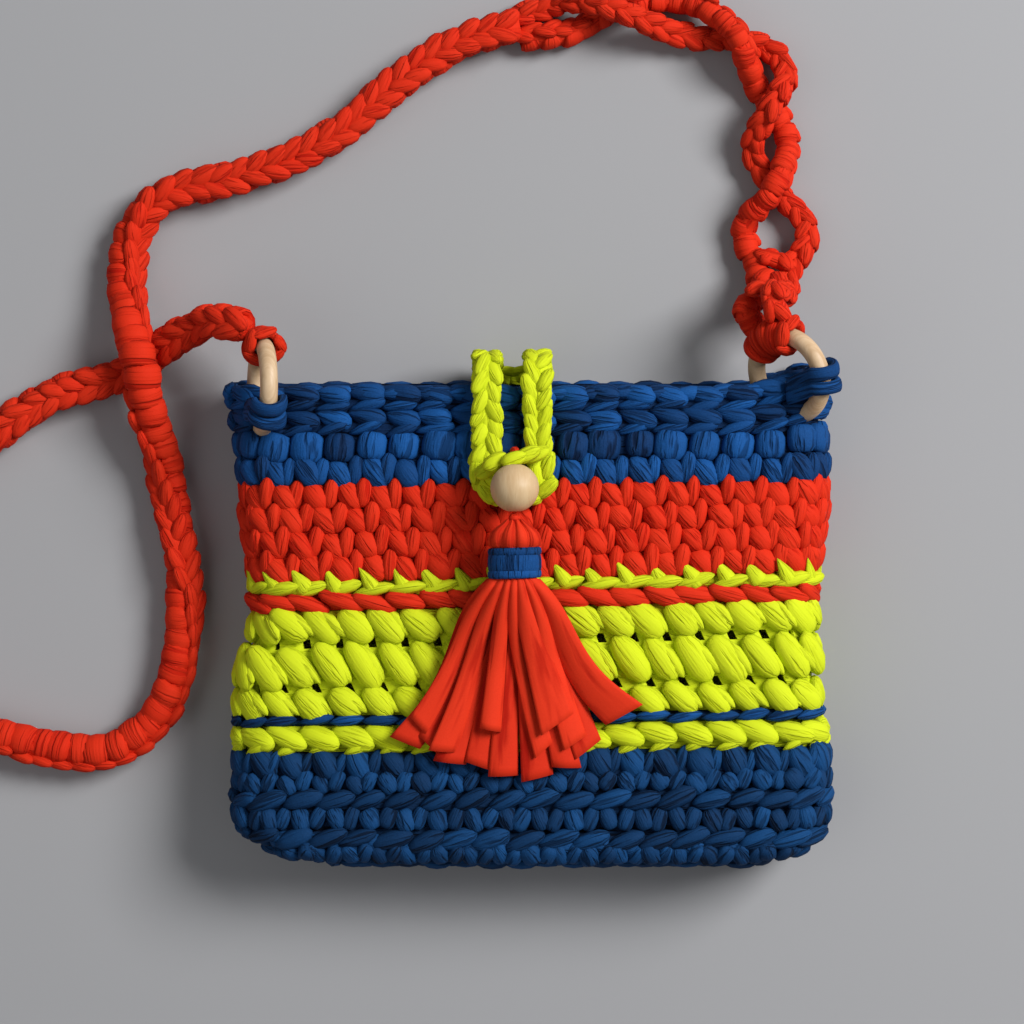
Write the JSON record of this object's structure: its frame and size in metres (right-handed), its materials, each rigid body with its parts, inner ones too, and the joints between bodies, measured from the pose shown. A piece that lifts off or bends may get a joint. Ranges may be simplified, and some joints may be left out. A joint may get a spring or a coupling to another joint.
{
  "type": "crocheted crossbody bag",
  "caption": "Crossbody bag crocheted in thick jersey yarn, in navy, red and yellow bands, with a loop and bead closure, a tassel and a strap on wooden rings.",
  "frame": {"origin": "on the back panel, in the middle of the bag's width and height, where it rests", "axes": "+X across the bag to the right, +Y up to the mouth, +Z out of the front panel"},
  "size_m": [0.4527, 0.3767, 0.0755],
  "materials": {
    "navy_yarn": "matte cotton jersey, navy",
    "red_yarn": "matte cotton jersey, red orange",
    "yellow_yarn": "matte cotton jersey, neon yellow",
    "wood": "bare sanded pale wood"
  },
  "bodies": {
    "root": {"base_cup": "navy_yarn", "lower_yellow_chain": "yellow_yarn", "navy_chain": "navy_yarn", "yellow_lattice_band": "yellow_yarn", "red_chain": "red_yarn", "yellow_spike_chain": "yellow_yarn", "red_band": "red_yarn", "top_navy_band": "navy_yarn", "ring_tie_left": "navy_yarn", "ring_tie_right": "navy_yarn", "closure_loop": "yellow_yarn", "bead_cord": "red_yarn", "strap_main": "red_yarn", "strap_strand_a": "red_yarn", "strap_strand_b": "red_yarn", "strap_eye_left": "red_yarn", "strap_eye_right": "red_yarn"},
    "ring_left_body": {"ring_left": "wood"},
    "ring_right_body": {"ring_right": "wood"},
    "bead_body": {"bead": "wood"},
    "tassel_link_body": {"tassel_link": "red_yarn"},
    "tassel": {"tassel_strand_01": "red_yarn", "tassel_strand_02": "red_yarn", "tassel_strand_03": "red_yarn", "tassel_strand_04": "red_yarn", "tassel_strand_05": "red_yarn", "tassel_strand_06": "red_yarn", "tassel_strand_07": "red_yarn", "tassel_strand_08": "red_yarn", "tassel_strand_09": "red_yarn", "tassel_strand_10": "red_yarn", "tassel_strand_11": "red_yarn", "tassel_strand_12": "red_yarn", "tassel_strand_13": "red_yarn", "tassel_strand_14": "red_yarn", "tassel_strand_15": "red_yarn", "tassel_wrap": "navy_yarn"}
  },
  "joints": [
    {"name": "ring_left_turn", "type": "hinge", "parent": "root", "child": "ring_left_body", "pos_m": [-0.1118, 0.1013, 0.0376], "axis": [0.9659, 0, -0.2588], "continuous": true},
    {"name": "ring_right_turn", "type": "hinge", "parent": "root", "child": "ring_right_body", "pos_m": [0.1103, 0.106, 0.037], "axis": [0.6894, 0.2926, -0.6626], "continuous": true},
    {"name": "bead_spin", "type": "hinge", "parent": "root", "child": "bead_body", "pos_m": [-0.0054, 0.0583, 0.06567], "axis": [0, 1, 0], "continuous": true},
    {"name": "tassel_swing", "type": "hinge", "parent": "root", "child": "tassel_link_body", "pos_m": [-0.0054, 0.04579, 0.06517], "axis": [0, 0, 1], "range_deg": [-28, 28]},
    {"name": "tassel_lift", "type": "hinge", "parent": "tassel_link_body", "child": "tassel", "pos_m": [-0.0054, 0.04579, 0.06517], "axis": [-1, 0, 0], "range_deg": [0, 60]}
  ]
}
